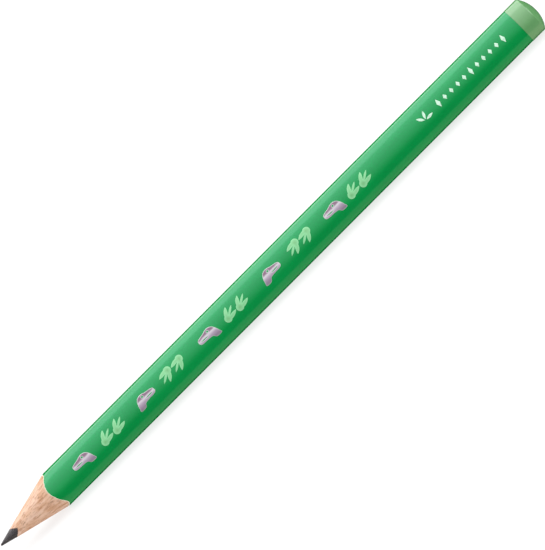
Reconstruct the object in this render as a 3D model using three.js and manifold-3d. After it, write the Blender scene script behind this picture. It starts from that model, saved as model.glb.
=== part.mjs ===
// A graphite pencil for learners: a thick soft-triangular barrel, lacquered and dipped at the butt,
// sharpened at the other end, with foil-stamped and printed marks along one face.
//
// Millimetres, +Z up. The pencil lies on one of its three faces. Its axis runs along X, with the point
// at -X and the butt at +X. The origin is at the middle of the length, on the surface that it lies on.
// The printed face looks towards -Y and 30 degrees up.

import * as THREE from "three";
import { mergeVertices } from "three/addons/utils/BufferGeometryUtils.js";
import Module from "manifold-3d";

const wasm = await Module();
wasm.setup();

// ---------------------------------------------------------------------------
// Driving dimensions
// ---------------------------------------------------------------------------

const LENGTH = 175; // point to butt
const HALF_WIDTH = 4.8; // half the distance across the barrel, seen square on to a face
const CORNER_RADIUS = 3.3;
const FACE_HALF_ANGLE = THREE.MathUtils.degToRad(36); // each face is a shallow arc, not a plane
const FACE_FACETS = 7; // odd, so that a flat facet lies at the middle of each face
const CORNER_FACETS = 4;

const LEAD_RADIUS = 1.4;
const LEAD_SIDES = 48;
const CONE_SLOPE = 0.2466; // radius gained per millimetre along the sharpened wood
const CONE_APEX_X = -1.18; // where the wood's cone would end, measured from the point
const POINT_RADIUS = 0.22; // the writing point is a little blunt
const CONE_CLEAR_RADIUS = 12; // wide enough to clear the barrel all the way along
const SHARPENING_LEAN = 0.008; // the cone's axis leans this much towards the printed face

const LACQUER = 0.1;
const UNDERCOAT = 0.06;
const GLUE = 0.06;
const FILM = 0.03; // foil and printed marks

const CAP_LENGTH = 5.6; // from the dip line to the top of the dome
const CAP_DOME = 1.6;
const CAP_STEP = 0.05; // how far the dipped coat stands proud of the lacquer
const CAP_END_COVER = 0.35; // dipped coat over the wood, at the rim of the dome

const MARK_PITCH = 20.45;
const FIRST_HEAD_X = 27.4; // from the point to the middle of the first head
const HEAD_COUNT = 5;
const TRACK_OFFSETS = [9.9, 8.7, 9.1, 9.4, 8.4]; // from each head to the pair of footprints that follows it
const FOOTPRINTS = [ // heel position from the pair's middle, and the way the middle toe points
  { heading: 0.6, u: -3.1, v: -0.8 },
  { heading: 0.6, u: 0.7, v: -0.8 },
];
const SPRIG_X = 138.8;
const LEAF_HEADINGS = [2.3, 1.2, 0.1];
const LEAF_LENGTH = 2.1;
const LEAF_STALK = 0.25; // leaves start this far from the middle of the sprig
const SPRIG_DROP = 0.8; // the sprig's middle lies this far below the face's middle
const BORDER_START_X = 143.6;
const BORDER_PITCH = 2.1;
const BORDER_COUNT = 11;
const DIAMOND_HALF_WIDTH = 0.5;
const DIAMOND_HALF_HEIGHT = 0.72;
const TALL_DIAMOND_HALF_HEIGHT = 1.15; // every fifth diamond

// ---------------------------------------------------------------------------
// Worked-out dimensions
// ---------------------------------------------------------------------------

const cornerSpacing = 2 * (HALF_WIDTH - CORNER_RADIUS);
const faceRadius = CORNER_RADIUS + cornerSpacing / 2 / Math.sin(FACE_HALF_ANGLE);
const cornerInset = cornerSpacing / (2 * Math.sqrt(3));
const faceArcCentre = cornerInset - (faceRadius - CORNER_RADIUS) * Math.cos(FACE_HALF_ANGLE);
const facetHalfAngle = FACE_HALF_ANGLE / FACE_FACETS;
const flatHeight = faceRadius * Math.cos(facetHalfAngle) + faceArcCentre; // axis to middle facet
const axisHeight = flatHeight + CAP_STEP;

const capStartX = LENGTH - CAP_LENGTH;
const domeStartX = LENGTH - CAP_DOME;
const woodEndX = domeStartX - CAP_END_COVER;
const faceTurn = THREE.MathUtils.degToRad(120);

// The printed face's own directions: u along the pencil, v up towards the ridge, w out of the face.
const faceTilt = Math.PI / 6;
const faceU = new THREE.Vector3(1, 0, 0);
const faceV = new THREE.Vector3(0, Math.sin(faceTilt), Math.cos(faceTilt));
const faceW = new THREE.Vector3(0, -Math.cos(faceTilt), Math.sin(faceTilt));

// ---------------------------------------------------------------------------
// Closed meshes and solids
// ---------------------------------------------------------------------------

/** Turns a closed geometry into a solid that can be joined and cut. */
function solidOf(geometry) {
  const bare = geometry.index ? geometry.toNonIndexed() : geometry.clone();
  bare.deleteAttribute("normal");
  bare.deleteAttribute("uv");
  const merged = mergeVertices(bare, 1e-5);
  return new wasm.Manifold(new wasm.Mesh({
    numProp: 3,
    vertProperties: new Float32Array(merged.attributes.position.array),
    triVerts: new Uint32Array(merged.index.array),
  }));
}

/** Turns a solid back into a geometry. */
function geometryOf(solid) {
  const mesh = solid.getMesh();
  const geometry = new THREE.BufferGeometry();
  geometry.setAttribute("position", new THREE.BufferAttribute(mesh.vertProperties, 3));
  geometry.setIndex(new THREE.BufferAttribute(mesh.triVerts, 1));
  return geometry;
}

/** Points on an arc of the barrel's outline, from one normal angle to another. */
function arcPoints(centreY, centreZ, radius, from, to, facets) {
  const points = [];
  for (let i = 0; i < facets; i += 1) {
    const angle = from + ((to - from) * i) / facets;
    points.push(new THREE.Vector2(centreY + radius * Math.cos(angle), centreZ + radius * Math.sin(angle)));
  }
  return points;
}

/** The barrel's outline in the YZ plane about its axis, moved inwards by an inset (or out if negative). */
function barrelOutline(inset) {
  const points = [];
  for (let face = 0; face < 3; face += 1) {
    const down = -Math.PI / 2 + face * faceTurn;
    const faceY = faceArcCentre * Math.cos(down);
    const faceZ = faceArcCentre * Math.sin(down);
    const faceArc = arcPoints(
      faceY, faceZ, faceRadius - inset, down - FACE_HALF_ANGLE, down + FACE_HALF_ANGLE, FACE_FACETS,
    );
    const corner = down + faceTurn / 2;
    const cornerReach = cornerSpacing / Math.sqrt(3);
    const cornerHalf = faceTurn / 2 - FACE_HALF_ANGLE;
    const cornerArc = arcPoints(
      cornerReach * Math.cos(corner), cornerReach * Math.sin(corner), CORNER_RADIUS - inset,
      corner - cornerHalf, corner + cornerHalf, CORNER_FACETS,
    );
    points.push(...faceArc, ...cornerArc);
  }
  return points;
}

/** Turns an outline drawn in Y and Z into a bar along X. */
function barAlongX(outline, fromX, toX) {
  const geometry = new THREE.ExtrudeGeometry(new THREE.Shape(outline), {
    depth: toX - fromX,
    bevelEnabled: false,
    curveSegments: 1,
  });
  const toBarrel = new THREE.Matrix4().makeBasis(
    new THREE.Vector3(0, 1, 0), new THREE.Vector3(0, 0, 1), new THREE.Vector3(1, 0, 0),
  );
  toBarrel.setPosition(fromX, 0, 0);
  return solidOf(geometry.applyMatrix4(toBarrel));
}

/** A stretch of the barrel, with its outline moved in by an inset. */
function barrel(inset, fromX, toX) {
  return barAlongX(barrelOutline(inset), fromX, toX);
}

/** A turned solid about X. The profile is a list of [x, radius] that starts and ends on the axis. */
function turned(profile, lean = new THREE.Quaternion()) {
  const points = profile.map(([x, radius]) => new THREE.Vector2(radius, x));
  const geometry = new THREE.LatheGeometry(points, LEAD_SIDES);
  geometry.rotateZ(-Math.PI / 2).applyQuaternion(lean);
  return solidOf(geometry);
}

/** A plain round rod on the axis. */
function rod(radius, fromX, toX) {
  return turned([[fromX, 0], [fromX, radius], [toX, radius], [toX, 0]]);
}

/** Where the sharpened wood reaches a radius. */
function coneX(radius) {
  return CONE_APEX_X + radius / CONE_SLOPE;
}

/** Everything that sharpening leaves standing: a cone that leans a little, about the writing point. */
function sharpenedEnvelope() {
  const profile = [
    [0, 0],
    [0.02, POINT_RADIUS * 0.6],
    [0.1, POINT_RADIUS],
    [coneX(LEAD_RADIUS), LEAD_RADIUS],
    [coneX(CONE_CLEAR_RADIUS), CONE_CLEAR_RADIUS],
    [LENGTH + 10, CONE_CLEAR_RADIUS],
    [LENGTH + 10, 0],
  ];
  const leaning = new THREE.Vector3(1, 0, 0).addScaledVector(faceW, SHARPENING_LEAN).normalize();
  const lean = new THREE.Quaternion().setFromUnitVectors(new THREE.Vector3(1, 0, 0), leaning);
  return turned(profile, lean);
}

/** A ball-like cap that ends at the top of the dome and passes through the barrel's rim. */
function domeEnvelope() {
  const rimRadius = HALF_WIDTH + CAP_STEP;
  const clearRadius = 6;
  const sphereRadius = (rimRadius ** 2 + CAP_DOME ** 2) / (2 * CAP_DOME);
  const centreX = LENGTH - sphereRadius;
  const reach = Math.asin(clearRadius / sphereRadius);
  const steps = 7;
  const profile = [[capStartX - 1, 0], [capStartX - 1, clearRadius]];
  for (let i = 0; i < steps; i += 1) {
    const angle = reach * (1 - i / steps);
    profile.push([centreX + sphereRadius * Math.cos(angle), sphereRadius * Math.sin(angle)]);
  }
  profile.push([LENGTH, 0]);
  return turned(profile);
}

// ---------------------------------------------------------------------------
// Marks on the printed face
// ---------------------------------------------------------------------------

/** A film in the outline of a flat shape, lying on the printed face and following its facets. */
function filmMark(shape, centreX) {
  const deep = 1;
  const high = 0.4;
  const reach = 3.4;
  const geometry = new THREE.ExtrudeGeometry(shape, {
    depth: deep + high,
    bevelEnabled: false,
    curveSegments: 3,
  });
  const toFace = new THREE.Matrix4().makeBasis(faceU, faceV, faceW);
  const start = faceW.clone().multiplyScalar(flatHeight - deep);
  toFace.setPosition(centreX, start.y, start.z);
  const stamp = solidOf(geometry.applyMatrix4(toFace));
  const skin = barrel(-FILM, centreX - reach, centreX + reach)
    .subtract(barrel(0, centreX - reach - 1, centreX + reach + 1));
  return geometryOf(stamp.intersect(skin));
}

/** A plain lizard-like head with a closed mouth, looking towards -u, or +u if mirrored. */
function headShape(mirrored) {
  const outline = [
    [-2.9, -0.1], [-2.7, 0.45], [-1.9, 0.7], [-0.8, 0.9], [0.1, 1.2], [1.0, 1.2], [1.8, 0.8], [2.4, -0.1],
    [2.75, -1.2], [2.85, -1.9], [1.4, -1.9], [0.7, -1.15], [-0.6, -0.95], [-2.0, -0.9], [-2.75, -0.65],
  ];
  const points = outline.map(([u, v]) => new THREE.Vector2(mirrored ? -u : u, v));
  return new THREE.Shape(mirrored ? points : points.reverse());
}

/** A three-toed footprint with its heel at the start, its middle toe along a heading. */
function footprintShape(heading, startU, startV) {
  const heel = 0.95;
  const heelEnd = 1.35;
  const valleyReach = 0.85;
  const toes = [
    { angle: 0.5, length: 2.8, outer: 0.4, inner: 0.17 },
    { angle: 0, length: 3.2, outer: 0.17, inner: 0.17 },
    { angle: -0.5, length: 2.8, outer: 0.17, inner: 0.4 },
  ];
  const at = (angle, distance) => [
    startU + distance * Math.cos(heading + angle),
    startV + distance * Math.sin(heading + angle),
  ];
  const shape = new THREE.Shape();
  shape.moveTo(...at(Math.PI, heel));
  shape.quadraticCurveTo(...at((Math.PI + heelEnd) / 2, heel * 1.2), ...at(heelEnd, heel));
  toes.forEach(({ angle, length, outer, inner }, i) => {
    const bulge = length * 0.75;
    const next = toes[i + 1];
    const valley = next ? at((angle + next.angle) / 2, valleyReach) : at(-heelEnd, heel);
    shape.quadraticCurveTo(...at(angle + outer, bulge), ...at(angle, length));
    shape.quadraticCurveTo(...at(angle - inner, bulge), ...valley);
  });
  shape.quadraticCurveTo(...at(-(Math.PI + heelEnd) / 2, heel * 1.2), ...at(Math.PI, heel));
  return new THREE.Shape(shape.getPoints(3).reverse());
}

/** A pointed leaf from a stalk end, along a heading. */
function leafShape(heading, startU, startV, length) {
  const at = (angle, distance) => [
    startU + distance * Math.cos(heading + angle),
    startV + distance * Math.sin(heading + angle),
  ];
  const shape = new THREE.Shape();
  shape.moveTo(startU, startV);
  shape.quadraticCurveTo(...at(-0.55, length * 0.6), ...at(0, length));
  shape.quadraticCurveTo(...at(0.55, length * 0.6), startU, startV);
  return shape;
}

function diamondShape(halfWidth, halfHeight) {
  return new THREE.Shape([
    new THREE.Vector2(-halfWidth, 0),
    new THREE.Vector2(0, -halfHeight),
    new THREE.Vector2(halfWidth, 0),
    new THREE.Vector2(0, halfHeight),
  ]);
}

// ---------------------------------------------------------------------------
// Materials
// ---------------------------------------------------------------------------

function finish(colour, roughness, metalness) {
  return new THREE.MeshStandardMaterial({ color: colour, roughness, metalness });
}

const graphite = finish(0x3a3a3d, 0.45, 0.2);
const cedar = finish(0xd9ae86, 0.75, 0);
const glue = finish(0xcdb38c, 0.6, 0);
const primer = finish(0xe9ead2, 0.6, 0);
const greenLacquer = finish(0x189650, 0.3, 0);
const paleGreenDip = finish(0x8fbf88, 0.3, 0);
const silverFoil = finish(0xc9bcc8, 0.25, 0.9);
const paleGreenInk = finish(0x7fd192, 0.4, 0);
const whiteInk = finish(0xf2f7f0, 0.45, 0);

// ---------------------------------------------------------------------------
// Assembly
// ---------------------------------------------------------------------------

const pencil = new THREE.Group();
pencil.name = "pencil";
pencil.position.set(-LENGTH / 2, 0, axisHeight);

function addPiece(name, geometry, material) {
  const mesh = new THREE.Mesh(geometry, material);
  mesh.name = name;
  pencil.add(mesh);
}

const envelope = sharpenedEnvelope();
const woodInset = LACQUER + UNDERCOAT;
const blankStart = -2;
const woodBlank = barrel(woodInset, blankStart, woodEndX).intersect(envelope);
const leadSpace = rod(LEAD_RADIUS + GLUE, blankStart, LENGTH);
const lead = rod(LEAD_RADIUS, blankStart, woodEndX);

const blockReach = 8; // further than the barrel's surface from the axis

/** A block on one side of the glue joint, which is parallel to the printed face. */
function jointBlock(low, high) {
  const box = new THREE.BoxGeometry(LENGTH + blockReach, 2 * blockReach, high - low);
  box.translate(LENGTH / 2, 0, (low + high) / 2);
  const toFace = new THREE.Matrix4().makeBasis(faceU, faceV, faceW);
  return solidOf(box.applyMatrix4(toFace));
}

const frontSlat = woodBlank.intersect(jointBlock(GLUE / 2, blockReach)).subtract(leadSpace);
const backSlat = woodBlank.intersect(jointBlock(-blockReach, -GLUE / 2)).subtract(leadSpace);
const glueBody = jointBlock(-GLUE / 2, GLUE / 2).add(leadSpace).intersect(woodBlank).subtract(lead);

addPiece("graphite_core", geometryOf(lead.intersect(envelope)), graphite);
addPiece("slat_front", geometryOf(frontSlat), cedar);
addPiece("slat_back", geometryOf(backSlat), cedar);
addPiece("glue_joint", geometryOf(glueBody), glue);

const undercoat = barrel(LACQUER, blankStart, woodEndX)
  .subtract(barrel(woodInset, blankStart - 1, woodEndX + 1))
  .intersect(envelope);
const lacquer = barrel(0, blankStart, woodEndX)
  .subtract(barrel(LACQUER, blankStart - 1, woodEndX + 1))
  .intersect(envelope);
addPiece("undercoat", geometryOf(undercoat), primer);
addPiece("lacquer_coat", geometryOf(lacquer), greenLacquer);

const cap = barrel(-CAP_STEP, capStartX, LENGTH + 1)
  .intersect(domeEnvelope())
  .subtract(barrel(0, capStartX - 1, woodEndX));
addPiece("dip_cap", geometryOf(cap), paleGreenDip);

for (let i = 0; i < HEAD_COUNT; i += 1) {
  const headX = FIRST_HEAD_X + i * MARK_PITCH;
  const turnedRound = i % 2 === 1;
  addPiece(`foil_head_${i + 1}`, filmMark(headShape(turnedRound), headX), silverFoil);
  // The two prints of a pair step along the pencil; every other pair walks the other way.
  FOOTPRINTS.forEach(({ heading, u, v }, side) => {
    const shape = turnedRound
      ? footprintShape(heading + Math.PI, -u, -v)
      : footprintShape(heading, u, v);
    addPiece(`footprint_${i + 1}_${"ab"[side]}`, filmMark(shape, headX + TRACK_OFFSETS[i]), paleGreenInk);
  });
}

LEAF_HEADINGS.forEach((heading, i) => {
  const startU = LEAF_STALK * Math.cos(heading);
  const startV = LEAF_STALK * Math.sin(heading) - SPRIG_DROP;
  const shape = leafShape(heading, startU, startV, LEAF_LENGTH);
  addPiece(`sprig_leaf_${i + 1}`, filmMark(shape, SPRIG_X), whiteInk);
});

for (let i = 0; i < BORDER_COUNT; i += 1) {
  const halfHeight = i % 5 === 0 ? TALL_DIAMOND_HALF_HEIGHT : DIAMOND_HALF_HEIGHT;
  const shape = diamondShape(DIAMOND_HALF_WIDTH, halfHeight);
  const name = `border_diamond_${String(i + 1).padStart(2, "0")}`;
  addPiece(name, filmMark(shape, BORDER_START_X + i * BORDER_PITCH), whiteInk);
}

export default pencil;
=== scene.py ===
import math

import bmesh
import bpy
from mathutils import Matrix, Vector, noise
from mathutils.geometry import tessellate_polygon


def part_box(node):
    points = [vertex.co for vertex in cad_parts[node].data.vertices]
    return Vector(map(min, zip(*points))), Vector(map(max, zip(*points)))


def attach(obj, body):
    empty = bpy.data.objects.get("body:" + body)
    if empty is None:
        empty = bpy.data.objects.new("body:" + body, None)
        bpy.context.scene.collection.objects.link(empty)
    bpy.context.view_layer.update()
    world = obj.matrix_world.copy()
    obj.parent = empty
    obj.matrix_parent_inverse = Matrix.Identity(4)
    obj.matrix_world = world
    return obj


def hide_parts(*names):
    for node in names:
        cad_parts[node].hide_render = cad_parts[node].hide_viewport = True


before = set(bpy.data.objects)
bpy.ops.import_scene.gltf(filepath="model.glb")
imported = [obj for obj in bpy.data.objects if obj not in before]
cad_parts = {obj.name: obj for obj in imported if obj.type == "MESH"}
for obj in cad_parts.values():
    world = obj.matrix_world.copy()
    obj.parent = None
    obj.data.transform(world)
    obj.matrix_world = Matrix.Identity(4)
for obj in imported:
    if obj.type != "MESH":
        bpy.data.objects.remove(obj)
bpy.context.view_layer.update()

# ---------------------------------------------------------------------------
# Sizes, in millimetres. Lengths along the pencil are measured from its point.
# ---------------------------------------------------------------------------

MM = 0.001
HALF_WIDTH = 4.8
CORNER_RADIUS = 3.3
FACE_HALF_ANGLE = math.radians(36)
SKIN_INSET = 0.03          # keeps the smooth arcs inside the CAD's facets
LEAD_RADIUS = 1.4
CONE_SLOPE = 0.2466
CONE_APEX_X = -1.18
SHARPENING_LEAN = 0.008    # the cone leans this much towards the printed face
POINT_RADIUS = 0.22
LACQUER = 0.1
UNDERCOAT = 0.06
GLUE = 0.06
FILM = 0.03
CAP_DOME = 1.6
CAP_STEP = 0.05
CAP_END_COVER = 0.35
MARK_PITCH = 20.45
FIRST_HEAD_X = 27.4
HEAD_COUNT = 5
TRACK_OFFSETS = (9.9, 8.7, 9.1, 9.4, 8.4)
SPRIG_X = 138.8
BORDER_START_X = 143.6
BORDER_PITCH = 2.1
BORDER_COUNT = 11
DIAMOND_HALF_WIDTH = 0.5
DIAMOND_HALF_HEIGHT = 0.72
TALL_DIAMOND_HALF_HEIGHT = 1.15
LEAF_LENGTH = 2.1
LEAF_STALK = 0.25
SPRIG_DROP = 0.8
FOOTPRINTS = ((0.6, -3.1, -0.8), (0.6, 0.7, -0.8))   # heading, then the heel's place
LEAD_EDGE_X = 3.95         # where lead meets wood at the sides
LEAD_EDGE_DEPTH = 1.7      # how much further along they meet on the side towards the front
LEAD_EDGE_SOFTNESS = 0.04  # rounds the corner of that edge
LEAD_TURN = math.radians(24)

core_low, core_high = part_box("graphite_core")
cap_low, cap_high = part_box("dip_cap")
POINT_X = core_low.x
AXIS_Z = (core_low.z + core_high.z) / 2
LENGTH = (cap_high.x - POINT_X) / MM
CAP_START = (cap_low.x - POINT_X) / MM
DOME_START = LENGTH - CAP_DOME
WOOD_END = DOME_START - CAP_END_COVER

CORNER_SPACING = 2 * (HALF_WIDTH - CORNER_RADIUS)
FACE_RADIUS = CORNER_RADIUS + CORNER_SPACING / 2 / math.sin(FACE_HALF_ANGLE)
FACE_ARC_CENTRE = (CORNER_SPACING / (2 * math.sqrt(3))
                   - (FACE_RADIUS - CORNER_RADIUS) * math.cos(FACE_HALF_ANGLE))

# The printed face's own directions: v up towards the ridge, w out of the face.
FACE_TILT = math.radians(30)
FACE_V = Vector((0, math.sin(FACE_TILT), math.cos(FACE_TILT)))
FACE_W = Vector((0, -math.cos(FACE_TILT), math.sin(FACE_TILT)))


def at(x, y, z):
    """A point in the row frame, from millimetres past the point and off the axis."""
    return Vector((POINT_X + x * MM, y * MM, AXIS_Z + z * MM))


# ---------------------------------------------------------------------------
# Meshes
# ---------------------------------------------------------------------------

def make_object(name, bm, material, smooth_angle=40):
    """Links a bmesh as an object with one material, smooth except at real edges."""
    bmesh.ops.recalc_face_normals(bm, faces=bm.faces)
    mesh = bpy.data.meshes.new(name)
    bm.to_mesh(mesh)
    bm.free()
    mesh.materials.append(material)
    mesh.shade_smooth()
    mesh.set_sharp_from_angle(angle=math.radians(smooth_angle))
    piece = bpy.data.objects.new(name, mesh)
    bpy.context.scene.collection.objects.link(piece)
    return piece


def add_to_model(piece, slot, *nodes):
    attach(piece, "root")
    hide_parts(*nodes)


def barrel_outline(inset, face_steps=26, corner_steps=22):
    """The barrel's outline about its axis as (y, z), moved in by an inset."""
    points = []
    corner_half = math.pi / 3 - FACE_HALF_ANGLE
    corner_reach = CORNER_SPACING / math.sqrt(3)
    for face in range(3):
        down = -math.pi / 2 + face * 2 * math.pi / 3
        corner = down + math.pi / 3
        arcs = (
            (down, FACE_ARC_CENTRE, FACE_RADIUS - inset, FACE_HALF_ANGLE, face_steps),
            (corner, corner_reach, CORNER_RADIUS - inset, corner_half, corner_steps),
        )
        for middle, reach, radius, half, steps in arcs:
            for i in range(steps):
                angle = middle - half + 2 * half * i / steps
                points.append((reach * math.cos(middle) + radius * math.cos(angle),
                               reach * math.sin(middle) + radius * math.sin(angle)))
    return points


def lean_towards(angle):
    """How much the sharpened cone gains along the pencil, in a direction about the axis, by leaning."""
    return SHARPENING_LEAN * (math.cos(angle) * FACE_W.y + math.sin(angle) * FACE_W.z)


def cone_x(radius, angle):
    """Where the sharpened wood reaches a radius, in a direction about the axis."""
    return (radius + CONE_APEX_X * CONE_SLOPE) / (CONE_SLOPE + lean_towards(angle))


def ring_faces(bm, first, second):
    """Joins two rings of the same number of vertices."""
    count = len(first)
    for i in range(count):
        j = (i + 1) % count
        bm.faces.new((first[i], first[j], second[j], second[i]))


def cut_wobble(angle):
    """How far the sharpener's cut wanders along the pencil, round the barrel."""
    turn = Vector((math.cos(angle), math.sin(angle), 0.0))
    return 0.14 * noise.noise(turn * 1.6) + 0.07 * noise.noise(turn * 9.0 + Vector((4, 0, 0)))


def coat(name, outer_inset, inner_inset, end_x, material):
    """A coat on the barrel: a tube that the sharpener has cut to a slanting, scalloped edge."""
    bm = bmesh.new()
    outlines = [barrel_outline(SKIN_INSET + inset) for inset in (outer_inset, inner_inset)]
    walls = []
    for outline in outlines:
        start = []
        for y, z in outline:
            angle = math.atan2(z, y)
            start.append(cone_x(math.hypot(y, z), angle) + cut_wobble(angle))
        stations = [0.0, 0.012, 0.04, 0.12, 0.3, 0.5, 0.7, 0.88, 1.0]
        rings = []
        for share in stations:
            ring = [bm.verts.new(at(s + (end_x - s) * share, y, z)) for s, (y, z) in zip(start, outline)]
            rings.append(ring)
        for low, high in zip(rings, rings[1:]):
            ring_faces(bm, low, high)
        walls.append(rings)
    ring_faces(bm, walls[0][0], walls[1][0])
    ring_faces(bm, walls[0][-1], walls[1][-1])
    return make_object(name, bm, material)


def lead_edge(angle):
    """Where lead and wood meet on the cone: nearer the point at the sides than on the side towards the front."""
    turn = Vector((math.cos(angle), math.sin(angle), 0.0))
    front = turn.x * -math.cos(LEAD_TURN) + turn.y * math.sin(LEAD_TURN)
    aside = turn.x * math.sin(LEAD_TURN) + turn.y * math.cos(LEAD_TURN) if front > 0 else 1.0
    reach = 1 + LEAD_EDGE_SOFTNESS - math.hypot(aside, LEAD_EDGE_SOFTNESS)
    wander = 0.14 * noise.noise(turn * 2.3 + Vector((0, 7, 0))) + 0.1 * noise.noise(turn * 8.0)
    return LEAD_EDGE_X + LEAD_EDGE_DEPTH * reach + wander


def point_radius(x, angle):
    """Radius of the sharpened cone at x in a direction, blunt at the writing point."""
    lead_end = cone_x(LEAD_RADIUS, angle)
    if x <= 0:
        return 0.0
    if x < 0.1:
        return POINT_RADIUS * math.sqrt(1 - (1 - x / 0.1) ** 2)
    if x < lead_end:
        return POINT_RADIUS + (LEAD_RADIUS - POINT_RADIUS) * (x - 0.1) / (lead_end - 0.1)
    return (x - CONE_APEX_X) * CONE_SLOPE + x * lean_towards(angle)


def wood_relief(x, angle):
    """Fine ridges and torn fibres that sharpening leaves on the wood, along the pencil."""
    turn = Vector((math.cos(angle), math.sin(angle), 0.0)) * point_radius(x, angle)
    fine = noise.noise(Vector((x * 0.35, turn.x * 4.5, turn.y * 4.5)))
    torn = noise.noise(Vector((x * 1.1 + 9, turn.x * 9.0, turn.y * 9.0)))
    chatter = math.sin(x * 9.0 + 3.0 * angle)
    return 0.012 * fine + 0.007 * torn + 0.0012 * chatter - 0.008


def radius_towards(outline, angle):
    """Distance from the axis to a closed outline, in a direction."""
    best = None
    dy, dz = math.cos(angle), math.sin(angle)
    for (ay, az), (by, bz) in zip(outline, [*outline[1:], outline[0]]):
        ca = dy * az - dz * ay
        cb = dy * bz - dz * by
        if ca <= 0 < cb or cb <= 0 < ca:
            share = ca / (ca - cb)
            reach = dy * (ay + (by - ay) * share) + dz * (az + (bz - az) * share)
            if reach > 0:
                best = reach
    return best


def half_slat(name, side, material):
    """One grooved half of the wooden case. side is 1 for the printed side, -1 for the other."""
    bm = bmesh.new()
    turns = 132
    rows = 70
    barrel = barrel_outline(SKIN_INSET + LACQUER + UNDERCOAT, 60, 60)
    middle = math.atan2(FACE_W.z * side, FACE_W.y * side)
    shift = (FACE_W.y * side * GLUE / 2, FACE_W.z * side * GLUE / 2)

    outer = []
    inner = []
    for i in range(turns + 1):
        angle = middle - math.pi / 2 + math.pi * i / turns
        low = lead_edge(angle)
        blank = radius_towards(barrel, angle)
        high = cone_x(blank, angle) + cut_wobble(angle)
        column = []
        for j in range(rows + 1):
            x = low + (high - low) * j / rows
            fade = min(1.0, j / 4, (rows - j) / 4)
            off_joint = 0 < i < turns
            relief = wood_relief(x, angle) * fade if off_joint else 0.0
            radius = min(point_radius(x, angle), blank) + relief
            column.append(bm.verts.new(at(x, radius * math.cos(angle) + shift[0],
                                          radius * math.sin(angle) + shift[1])))
        column.append(bm.verts.new(at(WOOD_END, blank * math.cos(angle) + shift[0],
                                      blank * math.sin(angle) + shift[1])))
        outer.append(column)
        groove = point_radius(low, angle)
        end = bm.verts.new(at(WOOD_END, groove * math.cos(angle) + shift[0],
                              groove * math.sin(angle) + shift[1]))
        inner.append((column[0], end))
    for left, right in zip(outer, outer[1:]):
        for j in range(len(left) - 1):
            bm.faces.new((left[j], right[j], right[j + 1], left[j + 1]))
    for (a, b), (c, d) in zip(inner, inner[1:]):
        bm.faces.new((a, b, d, c))
    for i in range(turns):
        bm.faces.new((outer[i][-1], outer[i + 1][-1], inner[i + 1][1], inner[i][1]))
    for column, (_, end) in ((outer[0], inner[0]), (outer[-1], inner[-1])):
        bm.faces.new([*column, end])
    return make_object(name, bm, material)


def glue_line(name, material):
    """The glue between the two halves: a thin sheet on each side of the lead, out to the wood's surface."""
    bm = bmesh.new()
    barrel = barrel_outline(SKIN_INSET + LACQUER + UNDERCOAT, 60, 60)
    below = 0.01
    rows = 24
    for side in (1, -1):
        angle = math.atan2(FACE_V.z * side, FACE_V.y * side)
        low = lead_edge(angle)
        blank = radius_towards(barrel, angle)
        high = cone_x(blank, angle)
        profile = []
        for j in range(rows + 1):
            x = low + (high - low) * j / rows
            profile.append((x, min(point_radius(x, angle), blank) - below))
        profile.append((WOOD_END, blank - below))
        profile.append((WOOD_END, point_radius(low, angle) - 2 * below))
        profile.append((low, point_radius(low, angle) - 2 * below))
        sheets = []
        for half in (-GLUE / 2, GLUE / 2):
            sheets.append([bm.verts.new(at(x, radius * math.cos(angle) + FACE_W.y * half,
                                           radius * math.sin(angle) + FACE_W.z * half)) for x, radius in profile])
        ring_faces(bm, *sheets)
        bm.faces.new(sheets[0])
        bm.faces.new(list(reversed(sheets[1])))
    return make_object(name, bm, material)


def lead(name, material):
    """The graphite core: a blunt, slightly flatted point, then a plain rod inside the wood."""
    bm = bmesh.new()
    sides = 120
    flats = 9
    stations = [0.0, 0.008, 0.03, 0.06, 0.1]
    along = [i / 40 for i in range(1, 41)]
    tip = bm.verts.new(at(0, 0, 0))
    rings = []
    for x in stations[1:]:
        rings.append([(x, point_radius(x, 0.0))] * sides)
    for share in along:
        ring = []
        for i in range(sides):
            low = stations[-1]
            angle = 2 * math.pi * i / sides
            x = low + (lead_edge(angle) - low) * share
            ring.append((x, point_radius(x, angle)))
        rings.append(ring)
    edge = [radius for _, radius in rings[-1]]
    rings.append([(WOOD_END, radius) for radius in edge])
    made = []
    for k, ring in enumerate(rings):
        verts = []
        for i, (x, radius) in enumerate(ring):
            angle = 2 * math.pi * i / sides
            wide = 2 * math.pi / flats * (1 + 0.25 * math.sin(angle * 2 + 1))
            offset = (angle + 0.3) % wide - wide / 2
            flat = math.cos(wide / 2) / math.cos(offset)
            share = min(1.0, max(0.0, (lead_edge(angle) - x) / 0.5)) if k < len(rings) - 1 else 0.0
            scale = 1 + (flat - 1) * 0.75 * share
            radius = radius * scale
            verts.append(bm.verts.new(at(x, radius * math.cos(angle), radius * math.sin(angle))))
        made.append(verts)
    for i in range(sides):
        bm.faces.new((tip, made[0][i], made[0][(i + 1) % sides]))
    for low, high in zip(made, made[1:]):
        ring_faces(bm, low, high)
    bm.faces.new(made[-1])
    return make_object(name, bm, material, 12)


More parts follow.
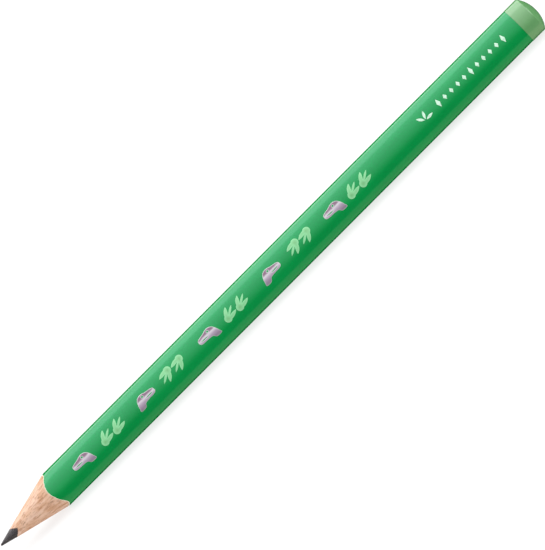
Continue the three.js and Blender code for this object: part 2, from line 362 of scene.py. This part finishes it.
def dip_cap(name, material):
    """The dipped end: a thin bead at the dip line, a straight wall, a soft rim and a shallow dome."""
    bm = bmesh.new()
    wall = -CAP_STEP
    rim_radius = 0.32
    profile = [
        (CAP_START, -0.004),
        (CAP_START + 0.02, wall * 0.55),
        (CAP_START + 0.07, wall * 0.92),
        (CAP_START + 0.16, wall),
        (CAP_START + 0.5, wall * 0.9),
        (CAP_START + 1.2, wall * 0.9),
        (DOME_START - 1.0, wall * 0.9),
    ]
    rings = []
    for x, inset in profile:
        rings.append([(x, y, z) for y, z in barrel_outline(SKIN_INSET + inset)])
    # The rim turns from the wall to the dome on a small radius; the dome then shrinks to the axis.
    rim = barrel_outline(SKIN_INSET + wall * 0.9)
    slope = math.atan(2 * CAP_DOME / HALF_WIDTH) + 0.12
    turn_steps = 6
    for k in range(turn_steps + 1):
        bend = (math.pi / 2 - slope) * k / turn_steps
        inward = rim_radius * (1 - math.cos(bend))
        x = DOME_START - 0.2 + rim_radius * math.sin(bend)
        scale = 1 - inward / HALF_WIDTH
        rings.append([(x, y * scale, z * scale) for y, z in rim])
    last_x = rings[-1][0][0]
    last_scale = 1 - rim_radius * (1 - math.cos(math.pi / 2 - slope)) / HALF_WIDTH
    dome_steps = 26
    for k in range(1, dome_steps):
        share = 1 - k / dome_steps
        x = last_x + (LENGTH - last_x) * (1 - share ** 2.15)
        scale = last_scale * share
        rings.append([(x, y * scale, z * scale) for y, z in rim])
    made = [[bm.verts.new(at(*p)) for p in ring] for ring in rings]
    for low, high in zip(made, made[1:]):
        ring_faces(bm, low, high)
    top = bm.verts.new(at(LENGTH, 0, 0))
    count = len(made[-1])
    for i in range(count):
        bm.faces.new((top, made[-1][i], made[-1][(i + 1) % count]))
    inside = [[bm.verts.new(at(x, y, z)) for y, z in barrel_outline(SKIN_INSET)]
              for x in (CAP_START, WOOD_END)]
    ring_faces(bm, made[0], inside[0])
    ring_faces(bm, inside[0], inside[1])
    bm.faces.new(inside[1])
    return make_object(name, bm, material, 50)


# ---------------------------------------------------------------------------
# Films on the printed face
# ---------------------------------------------------------------------------

def on_face(u, v, height):
    """The place of a flat mark's point once it is wrapped on the printed face. u is from the pencil's point."""
    radius = FACE_RADIUS - SKIN_INSET
    angle = v / radius
    centre = FACE_W * FACE_ARC_CENTRE
    spot = centre + (FACE_W * math.cos(angle) + FACE_V * math.sin(angle)) * (radius + height)
    return at(u, spot.y, spot.z)


def distance_to_edges(point, loops):
    best = 1e9
    for loop in loops:
        for a, b in zip(loop, [*loop[1:], loop[0]]):
            along = b - a
            share = max(0.0, min(1.0, (point - a).dot(along) / max(along.length_squared, 1e-12)))
            best = min(best, (point - a - along * share).length)
    return best


def film(name, loops, centre_x, material, grid=0.16):
    """A thin printed or stamped film in a flat outline, wrapped on the printed face. Later loops are holes."""
    loops = [[Vector((p[0], p[1])) for p in loop] for loop in loops]
    flat = [p for loop in loops for p in loop]
    bm = bmesh.new()
    verts = [bm.verts.new((p.x, p.y, 0)) for p in flat]
    for triangle in tessellate_polygon([[p.to_3d() for p in loop] for loop in loops]):
        bm.faces.new([verts[i] for i in triangle])
    for axis in (0, 1):
        low = min(p[axis] for p in flat)
        high = max(p[axis] for p in flat)
        count = int((high - low) / grid)
        normal = Vector((1, 0, 0)) if axis == 0 else Vector((0, 1, 0))
        for i in range(1, count + 1):
            spot = normal * (low + (high - low) * i / (count + 1))
            everything = [*bm.verts, *bm.edges, *bm.faces]
            bmesh.ops.bisect_plane(bm, geom=everything, plane_co=spot, plane_no=normal, dist=1e-5)
    bm.verts.index_update()
    bm.verts.ensure_lookup_table()
    edge_of = [distance_to_edges(Vector((v.co.x, v.co.y)), loops) for v in bm.verts]
    place_of = [(v.co.x, v.co.y) for v in bm.verts]
    faces = [[v.index for v in f.verts] for f in bm.faces]
    rim = [[v.index for v in e.verts] for e in bm.edges if e.is_boundary]
    bm.free()
    solid = bmesh.new()
    layer_edge = solid.verts.layers.float.new("edge")
    layer_rise = solid.verts.layers.float.new("rise")
    top = []
    base = []
    for (u, v), edge in zip(place_of, edge_of):
        rounded = 0.55 + 0.45 * min(1.0, edge / 0.05)
        for stack, height in ((top, FILM * rounded), (base, 0.0)):
            vert = solid.verts.new(on_face(centre_x + u, v, height))
            vert[layer_edge] = edge
            vert[layer_rise] = v
            stack.append(vert)
    for face in faces:
        solid.faces.new([top[i] for i in face])
        solid.faces.new([base[i] for i in reversed(face)])
    for a, b in rim:
        solid.faces.new((top[a], base[a], base[b], top[b]))
    return make_object(name, solid, material, 60)


def smooth_loop(points, steps=4):
    """A closed curve through points, rounding an outline drawn with few of them."""
    count = len(points)
    out = []
    for i in range(count):
        before, a, b, after = (Vector(points[(i + k) % count]) for k in (-1, 0, 1, 2))
        for k in range(steps):
            t = k / steps
            out.append(0.5 * (2 * a + (b - before) * t + (2 * before - 5 * a + 4 * b - after) * t ** 2
                              + (3 * a - before - 3 * b + after) * t ** 3))
    return out


def head_loops(mirrored):
    """A plain lizard-like head with a closed mouth, looking towards the pencil's point, or back if mirrored."""
    outline = smooth_loop([
        (-2.9, -0.1), (-2.7, 0.45), (-1.9, 0.7), (-0.8, 0.9), (0.1, 1.2), (1.0, 1.2), (1.8, 0.8), (2.4, -0.1),
        (2.75, -1.2), (2.85, -1.9), (1.4, -1.9), (0.7, -1.15), (-0.6, -0.95), (-2.0, -0.9), (-2.75, -0.65),
    ])
    eye = smooth_loop([(0.1, 0.55), (0.4, 0.3), (0.7, 0.55), (0.4, 0.8)])
    mouth = smooth_loop([(-2.2, -0.25), (-1.2, -0.2), (-0.1, -0.35), (-1.2, -0.42)])
    loops = [outline, eye, mouth]
    if mirrored:
        loops = [[Vector((-p.x, p.y)) for p in loop] for loop in loops]
    return loops


def footprint_loop(heading, start_u, start_v):
    """A three-toed print: a round heel at the start and three plump toes about a heading."""
    heel, heel_end, valley_reach = 0.95, 1.35, 0.85
    toes = ((0.5, 2.8, 0.4, 0.17), (0.0, 3.2, 0.17, 0.17), (-0.5, 2.8, 0.17, 0.4))

    def polar(angle, distance):
        return Vector((start_u + distance * math.cos(heading + angle),
                       start_v + distance * math.sin(heading + angle)))

    def bend(a, control, b, steps=6):
        return [a * (1 - k / steps) ** 2 + control * 2 * (k / steps) * (1 - k / steps) + b * (k / steps) ** 2
                for k in range(steps)]

    points = []
    corner = polar(heel_end, heel)
    for i, (angle, length, outer, inner) in enumerate(toes):
        tip = polar(angle, length)
        last = i == len(toes) - 1
        valley = polar(-heel_end, heel) if last else polar((angle + toes[i + 1][0]) / 2, valley_reach)
        points += bend(corner, polar(angle + outer, length * 0.75), tip)
        points += bend(tip, polar(angle - inner, length * 0.75), valley)
        corner = valley
    heel_steps = 14
    for k in range(heel_steps):
        points.append(polar(-heel_end - (2 * math.pi - 2 * heel_end) * k / heel_steps, heel))
    return points


def leaf_loop(heading, start_u, start_v, length):
    def polar(angle, distance):
        return Vector((start_u + distance * math.cos(heading + angle),
                       start_v + distance * math.sin(heading + angle)))
    steps = 8
    points = []
    for side, ends in ((-0.55, (0, 1)), (0.55, (1, 0))):
        a = polar(0, length * ends[0])
        b = polar(0, length * ends[1])
        control = polar(side, length * 0.6)
        for k in range(steps):
            t = k / steps
            points.append(a * (1 - t) ** 2 + control * 2 * t * (1 - t) + b * t ** 2)
    return points


# ---------------------------------------------------------------------------
# Materials
# ---------------------------------------------------------------------------

class Nodes:
    """A small helper that adds nodes to one material and joins them."""

    def __init__(self, name):
        self.material = bpy.data.materials.new(name)
        self.material.use_nodes = True
        self.tree = self.material.node_tree
        self.shader = self.tree.nodes["Principled BSDF"]

    def add(self, kind, inputs=None, **settings):
        node = self.tree.nodes.new("ShaderNode" + kind)
        for key, value in settings.items():
            setattr(node, key, value)
        for key, value in (inputs or {}).items():
            if isinstance(value, bpy.types.NodeSocket):
                self.tree.links.new(value, node.inputs[key])
            else:
                node.inputs[key].default_value = value
        return node

    def link(self, output, socket):
        self.tree.links.new(output, socket)

    def place(self, scale):
        """Object coordinates stretched by a scale for each axis."""
        coords = self.add("TexCoord")
        return self.add("Mapping", {"Vector": coords.outputs["Object"], "Scale": scale}).outputs[0]

    def noise(self, scale, detail=3.0, rough=0.5):
        node = self.add("TexNoise", {"Vector": self.place(scale), "Scale": 1.0, "Detail": detail,
                                     "Roughness": rough})
        return node.outputs["Fac"]

    def ramp(self, factor, stops):
        node = self.add("ValToRGB", {"Fac": factor})
        elements = node.color_ramp.elements
        while len(elements) < len(stops):
            elements.new(0.5)
        for element, (position, colour) in zip(elements, stops):
            element.position = position
            element.color = (*colour, 1.0) if len(colour) == 3 else colour
        return node.outputs["Color"]

    def spread(self, factor, low, high, from_low=0.0, from_high=1.0):
        node = self.add("MapRange", {"Value": factor, "From Min": from_low, "From Max": from_high,
                                     "To Min": low, "To Max": high})
        return node.outputs["Result"]

    def mix(self, factor, a, b, blend="MIX"):
        node = self.add("Mix", data_type="RGBA", blend_type=blend)
        for value, socket in ((factor, node.inputs[0]), (a, node.inputs[6]), (b, node.inputs[7])):
            if isinstance(value, bpy.types.NodeSocket):
                self.tree.links.new(value, socket)
            elif isinstance(value, tuple):
                socket.default_value = (*value, 1.0)
            else:
                socket.default_value = value
        return node.outputs[2]

    def math(self, operation, a, b=0.0):
        node = self.add("Math", operation=operation)
        for value, socket in ((a, node.inputs[0]), (b, node.inputs[1])):
            if isinstance(value, bpy.types.NodeSocket):
                self.tree.links.new(value, socket)
            else:
                socket.default_value = value
        return node.outputs[0]

    def bump(self, height, distance, strength=1.0, normal=None):
        inputs = {"Height": height, "Distance": distance, "Strength": strength}
        if normal is not None:
            inputs["Normal"] = normal
        return self.add("Bump", inputs).outputs["Normal"]


def lacquer_material(name, dark, light, roughness, ior, gloss_tint):
    """Glossy dipped lacquer: faint orange peel, dust-fine scratches and a little unevenness of colour."""
    n = Nodes(name)
    clouds = n.noise((60, 350, 350), 2.0)
    n.link(n.ramp(clouds, [(0.3, dark), (0.7, light)]), n.shader.inputs["Base Color"])
    scratches = n.noise((300, 9000, 9000), 2.0, 0.6)
    n.link(n.spread(scratches, roughness * 0.85, roughness * 1.3, 0.3, 0.75), n.shader.inputs["Roughness"])
    peel = n.noise((500, 1100, 1100), 2.0)
    n.link(n.bump(peel, 0.00001, 0.35), n.shader.inputs["Normal"])
    n.shader.inputs["IOR"].default_value = ior
    n.shader.inputs["Specular Tint"].default_value = (*gloss_tint, 1.0)
    return n.material


def wood_material():
    """Sharpened incense-cedar: pink tan with fine lengthwise grain, dark fibre dashes and pale rays."""
    n = Nodes("cedar")
    broad = n.noise((70, 900, 900), 3.0, 0.55)
    fine = n.noise((210, 1900, 1900), 4.0, 0.6)
    dash = n.noise((380, 2600, 2600), 2.0, 0.5)
    colour = n.ramp(broad, [(0.34, (0.66, 0.365, 0.22)), (0.48, (0.78, 0.49, 0.335)), (0.62, (0.85, 0.58, 0.44))])
    grain = n.ramp(fine, [(0.38, (0.72, 0.60, 0.53)), (0.47, (0.93, 0.89, 0.86)), (0.56, (1.0, 1.0, 1.0))])
    colour = n.mix(0.9, colour, grain, "MULTIPLY")
    marks = n.ramp(dash, [(0.60, (0, 0, 0)), (0.68, (1, 1, 1))])
    marks_amount = n.math("MULTIPLY", marks, 0.55)
    colour = n.mix(marks_amount, colour, (0.26, 0.11, 0.05))
    n.link(colour, n.shader.inputs["Base Color"])
    n.link(n.spread(fine, 0.55, 0.85), n.shader.inputs["Roughness"])
    rough = n.bump(fine, 0.00004, 0.8)
    n.link(n.bump(dash, 0.00003, 0.5, rough), n.shader.inputs["Normal"])
    return n.material


def graphite_material():
    """Fired graphite: dark grey, faintly metallic, with lengthwise streaks from the sharpener whose sheen is
    painted into the colour as bright lines.
    """
    n = Nodes("graphite")
    streaks_and_sheen = n.noise((180, 5200, 5200), 3.0, 0.6)
    grainy = n.noise((9000, 9000, 9000), 2.0, 0.6)
    # The streaks are real sharpener marks; their bright colour is painted sheen.
    colour = n.ramp(streaks_and_sheen, [(0.35, (0.042, 0.036, 0.040)), (0.56, (0.080, 0.072, 0.076)),
                            (0.70, (0.17, 0.155, 0.16))])
    n.link(colour, n.shader.inputs["Base Color"])
    n.link(n.spread(streaks_and_sheen, 0.52, 0.3, 0.35, 0.7), n.shader.inputs["Roughness"])
    first = n.bump(streaks_and_sheen, 0.00005, 0.8)
    n.link(n.bump(grainy, 0.00001, 0.5, first), n.shader.inputs["Normal"])
    n.shader.inputs["Metallic"].default_value = 0.25
    return n.material


def undercoat_material():
    n = Nodes("undercoat")
    torn = n.noise((2500, 2500, 2500), 3.0)
    n.link(n.ramp(torn, [(0.35, (0.62, 0.66, 0.46)), (0.65, (0.86, 0.90, 0.74))]), n.shader.inputs["Base Color"])
    n.link(n.bump(torn, 0.00002, 0.6), n.shader.inputs["Normal"])
    n.shader.inputs["Roughness"].default_value = 0.6
    return n.material


def glue_material():
    n = Nodes("wood_glue")
    streak = n.noise((300, 3000, 3000), 2.0)
    n.link(n.ramp(streak, [(0.35, (0.36, 0.22, 0.12)), (0.65, (0.52, 0.36, 0.21))]), n.shader.inputs["Base Color"])
    n.link(n.bump(streak, 0.00002, 0.4), n.shader.inputs["Normal"])
    n.shader.inputs["Roughness"].default_value = 0.55
    return n.material


def attribute(n, name, low, high):
    node = n.add("Attribute", attribute_name=name)
    return n.spread(node.outputs["Fac"], 0.0, 1.0, low, high)


def foil_material():
    """Hot-stamped foil: mauve and white bands up the head, which are a painted reflection of the surroundings in
    the metal, and a pale line where the die pressed the edge.
    """
    n = Nodes("silver_foil")
    up = attribute(n, "rise", -2.4, 2.4)
    wander = n.noise((500, 500, 500), 2.0)
    up = n.math("ADD", up, n.spread(wander, -0.05, 0.05))
    # Painted reflection: the mauve and white bands up the head stand in for what the shiny foil mirrors.
    painted_reflection_bands = n.ramp(up, [
        (0.00, (0.50, 0.48, 0.52)), (0.20, (0.40, 0.31, 0.42)), (0.38, (0.52, 0.42, 0.54)),
        (0.50, (0.70, 0.66, 0.72)), (0.57, (0.27, 0.18, 0.25)), (0.68, (0.24, 0.13, 0.20)),
        (0.80, (0.44, 0.35, 0.42)), (1.00, (0.52, 0.56, 0.54)),
    ])
    edge = attribute(n, "edge", 0.03, 0.15)
    n.link(n.mix(edge, (0.66, 0.74, 0.70), painted_reflection_bands), n.shader.inputs["Base Color"])
    brushed = n.noise((3000, 6000, 6000), 2.0)
    n.link(n.spread(brushed, 0.32, 0.48), n.shader.inputs["Roughness"])
    n.link(n.bump(brushed, 0.000004, 0.5), n.shader.inputs["Normal"])
    n.shader.inputs["Metallic"].default_value = 0.55
    return n.material


def print_material():
    """Pale green ink, brighter along its edge, where it stands up."""
    n = Nodes("pale_green_ink")
    edge = attribute(n, "edge", 0.05, 0.75)
    cloud = n.noise((1500, 1500, 1500), 2.0)
    inner = n.ramp(cloud, [(0.35, (0.17, 0.47, 0.20)), (0.65, (0.21, 0.52, 0.23))])
    n.link(n.mix(edge, (0.26, 0.66, 0.33), inner), n.shader.inputs["Base Color"])
    n.link(n.spread(cloud, 0.28, 0.42), n.shader.inputs["Roughness"])
    n.link(n.bump(cloud, 0.00001, 0.4), n.shader.inputs["Normal"])
    return n.material


def white_material():
    n = Nodes("white_ink")
    cloud = n.noise((2500, 2500, 2500), 3.0)
    n.link(n.ramp(cloud, [(0.3, (0.40, 0.70, 0.50)), (0.55, (0.62, 0.86, 0.70))]), n.shader.inputs["Base Color"])
    n.link(n.spread(cloud, 0.35, 0.5), n.shader.inputs["Roughness"])
    n.link(n.bump(cloud, 0.00001, 0.4), n.shader.inputs["Normal"])
    return n.material


GLOSS_ROUGHNESS = 0.14
LACQUER_IOR = 1.65
DIP_IOR = 1.8
LACQUER_GLOSS_TINT = (0.6, 1.0, 1.0)
PLAIN_GLOSS = (1.0, 1.0, 1.0)
green = lacquer_material("green_lacquer", (0.0, 0.263, 0.050), (0.0, 0.286, 0.056),
                         GLOSS_ROUGHNESS, LACQUER_IOR, LACQUER_GLOSS_TINT)
dip = lacquer_material("pale_green_dip", (0.125, 0.330, 0.122), (0.136, 0.352, 0.132),
                       GLOSS_ROUGHNESS, DIP_IOR, PLAIN_GLOSS)
cedar = wood_material()
foil = foil_material()
pale_ink = print_material()
white_ink = white_material()

# ---------------------------------------------------------------------------
# The pencil
# ---------------------------------------------------------------------------

add_to_model(lead("lead_fine", graphite_material()), "graphite", "graphite_core")
add_to_model(half_slat("slat_front_fine", 1, cedar), "cedar", "slat_front")
add_to_model(half_slat("slat_back_fine", -1, cedar), "cedar", "slat_back")
add_to_model(coat("undercoat_fine", LACQUER, LACQUER + UNDERCOAT, WOOD_END, undercoat_material()),
             "undercoat", "undercoat")
add_to_model(coat("lacquer_fine", 0.0, LACQUER, WOOD_END, green), "green_lacquer", "lacquer_coat")
add_to_model(dip_cap("dip_cap_fine", dip), "pale_green_dip", "dip_cap")

add_to_model(glue_line("glue_joint_fine", glue_material()), "wood_glue", "glue_joint")

for i in range(HEAD_COUNT):
    head_x = FIRST_HEAD_X + i * MARK_PITCH
    turned = i % 2 == 1
    head = film(f"head_{i + 1}_fine", head_loops(turned), head_x, foil)
    add_to_model(head, "silver_foil", f"foil_head_{i + 1}")
    for side, (heading, u, v) in zip("ab", FOOTPRINTS):
        flip = -1 if turned else 1
        loop = footprint_loop(heading + (math.pi if turned else 0), u * flip, v * flip)
        track = film(f"footprint_{i + 1}_{side}_fine", [loop], head_x + TRACK_OFFSETS[i], pale_ink)
        add_to_model(track, "pale_green_ink", f"footprint_{i + 1}_{side}")

for i, heading in enumerate((2.3, 1.2, 0.1)):
    start_u = LEAF_STALK * math.cos(heading)
    start_v = LEAF_STALK * math.sin(heading) - SPRIG_DROP
    loop = leaf_loop(heading, start_u, start_v, LEAF_LENGTH)
    add_to_model(film(f"sprig_leaf_{i + 1}_fine", [loop], SPRIG_X, white_ink), "white_ink", f"sprig_leaf_{i + 1}")

for i in range(BORDER_COUNT):
    half_high = TALL_DIAMOND_HALF_HEIGHT if i % 5 == 0 else DIAMOND_HALF_HEIGHT
    loop = [(-DIAMOND_HALF_WIDTH, 0), (0, -half_high), (DIAMOND_HALF_WIDTH, 0), (0, half_high)]
    diamond = film(f"diamond_{i + 1:02d}_fine", [loop], BORDER_START_X + i * BORDER_PITCH, white_ink)
    add_to_model(diamond, "white_ink", f"border_diamond_{i + 1:02d}")

# ---------------------------------------------------------------------------
# Stage, camera and light
# ---------------------------------------------------------------------------

FLOOR_GLOW = 0.76


def make_floor():
    """A pale light table. It glows a little, so that the shadow on it stays soft and light."""
    bm = bmesh.new()
    bmesh.ops.create_grid(bm, x_segments=8, y_segments=8, size=4.0)
    n = Nodes("floor_paper")
    speck = n.noise((40, 40, 40), 2.0)
    n.link(n.ramp(speck, [(0.3, (0.215, 0.215, 0.215)), (0.7, (0.23, 0.23, 0.23))]), n.shader.inputs["Base Color"])
    n.shader.inputs["Roughness"].default_value = 0.9
    n.shader.inputs["Specular IOR Level"].default_value = 0.1
    n.shader.inputs["Emission Color"].default_value = (1, 1, 1, 1)
    n.shader.inputs["Emission Strength"].default_value = FLOOR_GLOW
    floor = make_object("floor", bm, n.material)
    floor.visible_glossy = False


def make_bounce_card():
    """A card under the table top that only the gloss sees: it puts the soft light along the lower edge."""
    bm = bmesh.new()
    low_y, high_y, depth, half_long = -0.056, 0.006, -0.03, 0.3
    corners = ((-half_long, low_y), (half_long, low_y), (half_long, high_y), (-half_long, high_y))
    bm.faces.new([bm.verts.new((x, y, depth)) for x, y in corners])
    n = Nodes("card")
    n.shader.inputs["Base Color"].default_value = (0, 0, 0, 1)
    n.shader.inputs["Emission Color"].default_value = (1, 0.9, 0.65, 1)
    n.shader.inputs["Emission Strength"].default_value = 0.47
    n.material.cycles.emission_sampling = "NONE"
    card = make_object("bounce_card", bm, n.material)
    card.visible_camera = False
    card.visible_diffuse = False
    card.visible_shadow = False
    card.visible_transmission = False


def make_camera():
    """A long lens, square on to the pencil, rolled so that the pencil runs up to the right."""
    elevation = math.radians(22)
    roll = math.radians(45.08)
    distance = 1.3
    length_in_frames = 1.3764               # the pencil's length, in heights of the frame
    aim_right, aim_up = 0.95, 0.57          # from the pencil's middle, in millimetres
    along = Vector((1, 0, 0))
    above = Vector((0, math.sin(elevation), math.cos(elevation)))
    back = Vector((0, -math.cos(elevation), math.sin(elevation)))
    right = along * math.cos(roll) - above * math.sin(roll)
    up = along * math.sin(roll) + above * math.cos(roll)
    target = Vector((POINT_X + LENGTH * MM / 2, 0, AXIS_Z))
    target += (right * aim_right + up * aim_up) * MM
    camera = bpy.data.objects.new("camera", bpy.data.cameras.new("camera"))
    camera.data.sensor_width = 36
    camera.data.lens = 36 * length_in_frames * distance / (LENGTH * MM)
    camera.data.clip_start = 0.05
    camera.data.clip_end = 20
    camera.matrix_world = Matrix((right, up, back)).transposed().to_4x4()
    camera.location = target + back * distance
    bpy.context.scene.collection.objects.link(camera)
    bpy.context.scene.camera = camera


def softbox(name, centre, size, radiance):
    """A rectangular light that faces the pencil's middle. size is across and up, radiance is what it shows."""
    light = bpy.data.lights.new(name, "AREA")
    light.shape = "RECTANGLE"
    light.size, light.size_y = size
    light.energy = radiance * size[0] * size[1] * math.pi
    lamp = bpy.data.objects.new(name, light)
    centre = Vector(centre)
    lamp.location = centre
    lamp.rotation_mode = "QUATERNION"
    lamp.rotation_quaternion = centre.to_track_quat("Z", "Y")
    lamp.visible_camera = False
    bpy.context.scene.collection.objects.link(lamp)


def make_world(strength):
    world = bpy.data.worlds.new("studio")
    world.use_nodes = True
    background = world.node_tree.nodes["Background"]
    background.inputs["Color"].default_value = (1, 1, 1, 1)
    background.inputs["Strength"].default_value = strength
    bpy.context.scene.world = world


def panel(name, low, high, distance, radiance):
    """A softbox that the pencil sees between two elevations, in degrees: 0 in front, 90 above, 180 behind."""
    middle = math.radians((low + high) / 2)
    tall = 2 * distance * math.tan(math.radians((high - low) / 2))
    centre = (0, -distance * math.cos(middle), distance * math.sin(middle))
    softbox(name, centre, (2.6, tall), radiance)


PANEL_DISTANCE = 1.6
FRONT_FALLOFF = 0.85
FRONT_PANELS = 9
FRONT_TOP = 90                  # the front light grades from nothing at the horizon to full overhead
FRONT_RADIANCE = 2.0
BACK_PANELS = ((90, 112, 3.0), (112, 135, 2.4), (135, 150, 3.0))
make_floor()
make_bounce_card()
make_camera()
make_world(0.01)
for i in range(FRONT_PANELS):
    low = FRONT_TOP * i / FRONT_PANELS
    high = FRONT_TOP * (i + 1) / FRONT_PANELS
    radiance = FRONT_RADIANCE * ((i + 0.5) / FRONT_PANELS) ** FRONT_FALLOFF
    panel(f"softbox_front_{i + 1}", low, high, PANEL_DISTANCE, radiance)
for i, (low, high, radiance) in enumerate(BACK_PANELS):
    panel(f"softbox_back_{i + 1}", low, high, PANEL_DISTANCE, radiance)
softbox("softbox_butt", (1.9, -0.5, 0.8), (1.3, 1.3), 4.5)

bpy.context.scene.view_settings.view_transform = "Standard"
